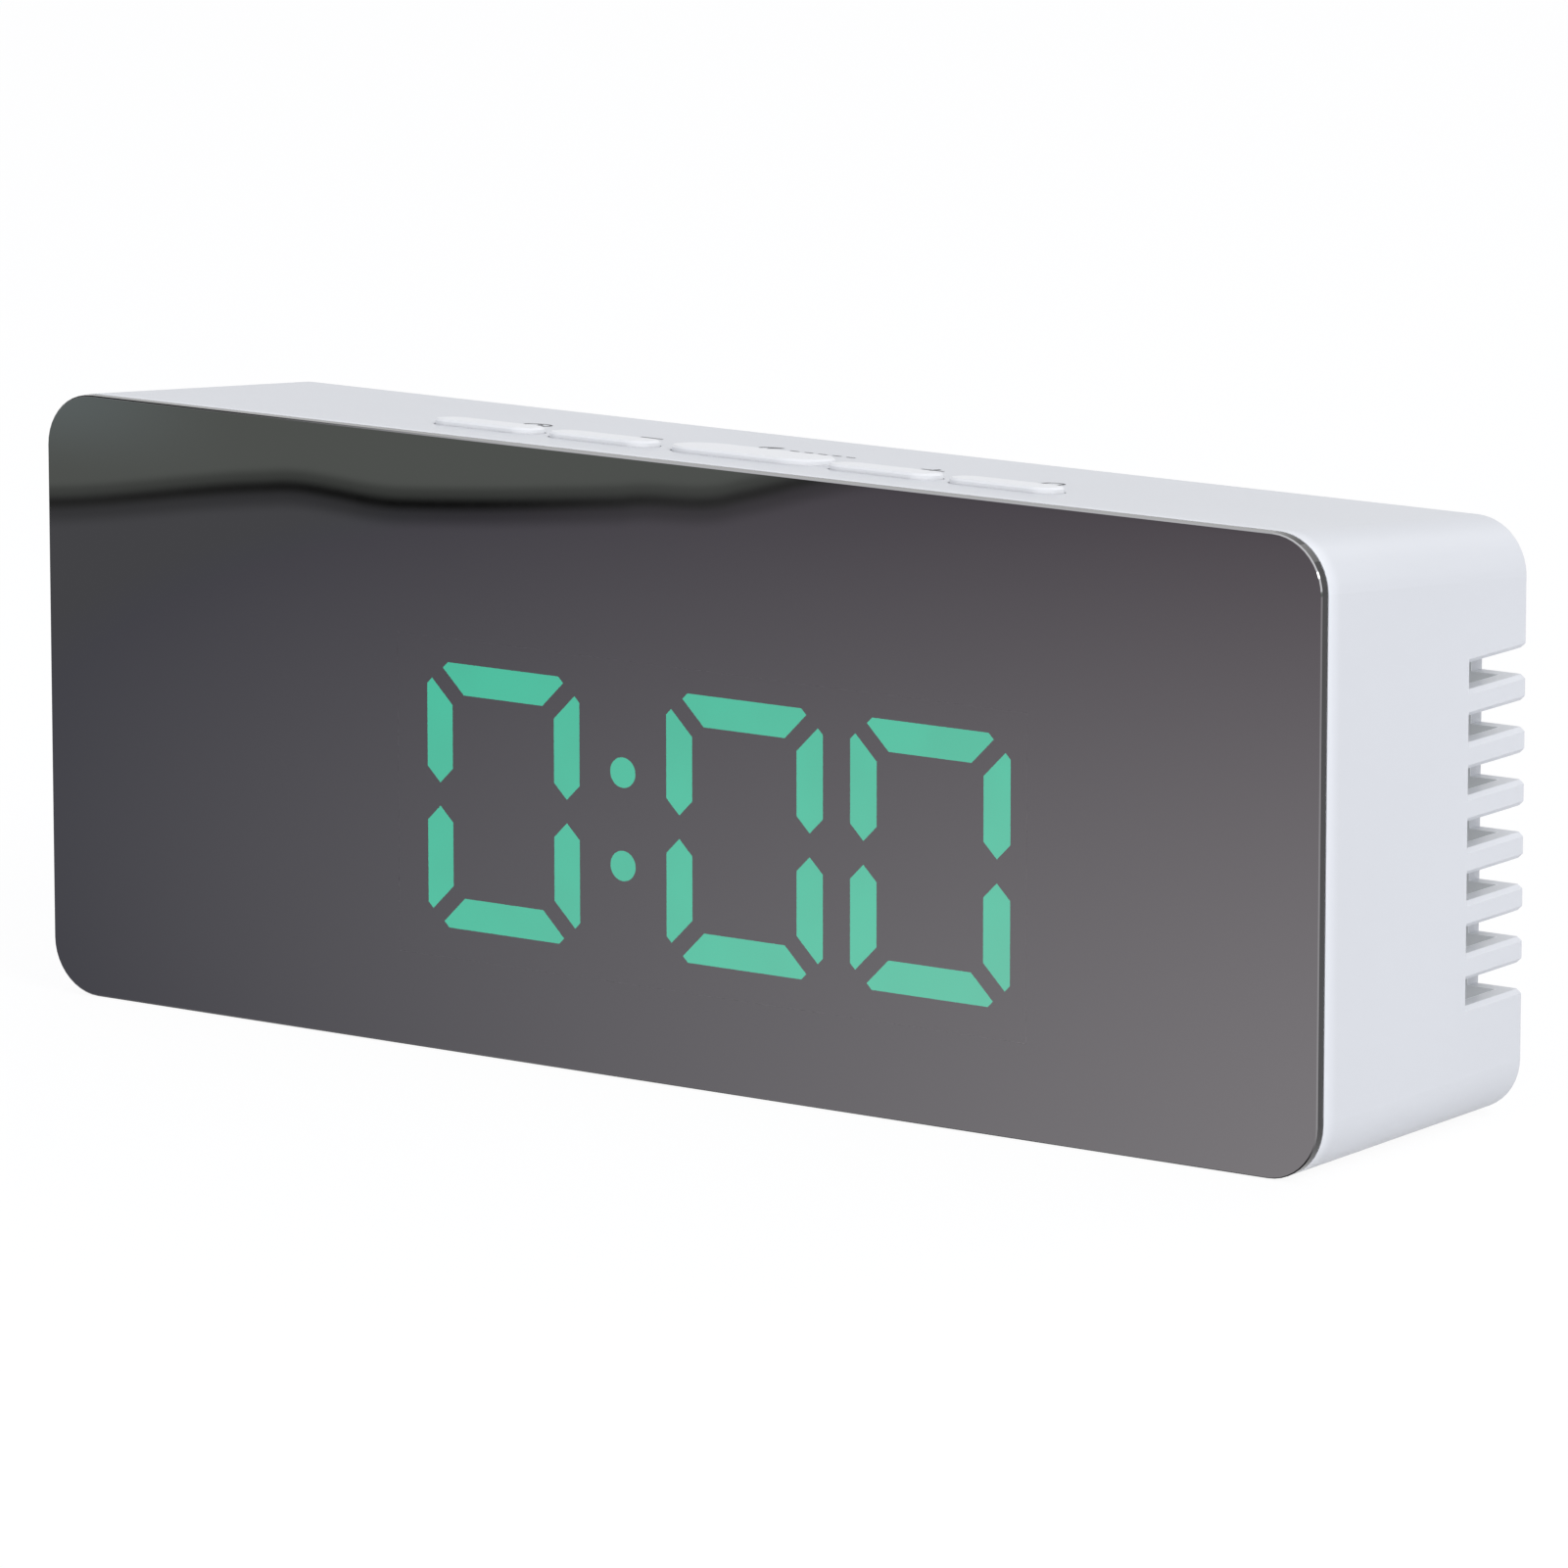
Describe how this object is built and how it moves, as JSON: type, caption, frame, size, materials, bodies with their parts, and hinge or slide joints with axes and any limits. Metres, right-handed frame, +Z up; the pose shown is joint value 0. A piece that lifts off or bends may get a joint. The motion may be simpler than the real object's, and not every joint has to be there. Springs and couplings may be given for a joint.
{
  "type": "mirror alarm clock",
  "caption": "Desk alarm clock: half-mirror face over a lit digital display, push keys on top, vented ends, battery bay and power inlet behind.",
  "frame": {"origin": "under the middle of the clock, on the surface it stands on", "axes": "+X along the width, to the right when facing the mirror; +Y from the mirror to the rear; +Z up"},
  "size_m": [0.14, 0.0342, 0.057],
  "materials": {
    "housing_white": "fine satin moulding",
    "frame_black": "matte",
    "adhesive_foam": "matte film",
    "half_mirror": "polished half-silvered acrylic",
    "mask_film": "matte print",
    "lit_green": "lit diffuser",
    "unlit_grey": "dark diffuser",
    "reflector_white": "matte",
    "circuit_board": "solder mask",
    "pin_metal": "plated",
    "led_resin": "clear resin",
    "screw_steel": "zinc plated",
    "key_white": "fine satin moulding",
    "switch_black": "matte",
    "plunger_nylon": "matte",
    "sounder_black": "matte",
    "chip_black": "moulded epoxy",
    "can_metal": "satin",
    "socket_steel": "plated",
    "socket_black": "matte",
    "cell_wrap": "plain wrap",
    "contact_nickel": "nickel plated",
    "door_white": "fine satin moulding"
  },
  "bodies": {
    "case": {"alarm_switch": "switch_black", "board_screws": "screw_steel", "buzzer": "sounder_black", "clock_crystal": "can_metal", "colon_dots": "lit_green", "digit_drivers": "chip_black", "display_board": "circuit_board", "display_mask": "mask_film", "display_reflector": "reflector_white", "frame_screws": "screw_steel", "front_frame": "frame_black", "housing": "housing_white", "left_link_contact": "contact_nickel", "lit_segments": "lit_green", "lower_cell": "cell_wrap", "main_board": "circuit_board", "middle_cell": "cell_wrap", "minus_switch": "switch_black", "mirror_panel": "half_mirror", "mirror_tape": "adhesive_foam", "negative_contact": "contact_nickel", "pin_strips": "pin_metal", "plus_switch": "switch_black", "positive_contact": "contact_nickel", "power_socket": "socket_steel", "processor": "chip_black", "right_link_contact": "contact_nickel", "segment_leds": "led_resin", "segment_resistors": "chip_black", "set_switch": "switch_black", "snooze_switch": "switch_black", "socket_tongue": "socket_black", "supply_capacitor": "can_metal", "unlit_segments": "unlit_grey", "upper_cell": "cell_wrap"},
    "set_button": {"set_key": "key_white", "set_plunger": "plunger_nylon"},
    "minus_button": {"minus_key": "key_white", "minus_plunger": "plunger_nylon"},
    "snooze_button": {"snooze_key": "key_white", "snooze_plunger": "plunger_nylon"},
    "plus_button": {"plus_key": "key_white", "plus_plunger": "plunger_nylon"},
    "alarm_button": {"alarm_key": "key_white", "alarm_plunger": "plunger_nylon"},
    "door": {"battery_door": "door_white"}
  },
  "joints": [
    {"name": "set_press", "type": "slide", "parent": "case", "child": "set_button", "axis": [0, 0, -1], "range_m": [0, 0.0003], "stiffness_N_per_m": 1500},
    {"name": "minus_press", "type": "slide", "parent": "case", "child": "minus_button", "axis": [0, 0, -1], "range_m": [0, 0.0003], "stiffness_N_per_m": 1500},
    {"name": "snooze_press", "type": "slide", "parent": "case", "child": "snooze_button", "axis": [0, 0, -1], "range_m": [0, 0.0003], "stiffness_N_per_m": 1500},
    {"name": "plus_press", "type": "slide", "parent": "case", "child": "plus_button", "axis": [0, 0, -1], "range_m": [0, 0.0003], "stiffness_N_per_m": 1500},
    {"name": "alarm_press", "type": "slide", "parent": "case", "child": "alarm_button", "axis": [0, 0, -1], "range_m": [0, 0.0003], "stiffness_N_per_m": 1500},
    {"name": "door_hinge", "type": "hinge", "parent": "case", "child": "door", "pos_m": [-0.02, 0.01715, 0.00945], "axis": [-1, 0, 0], "range_deg": [0, 60]}
  ]
}
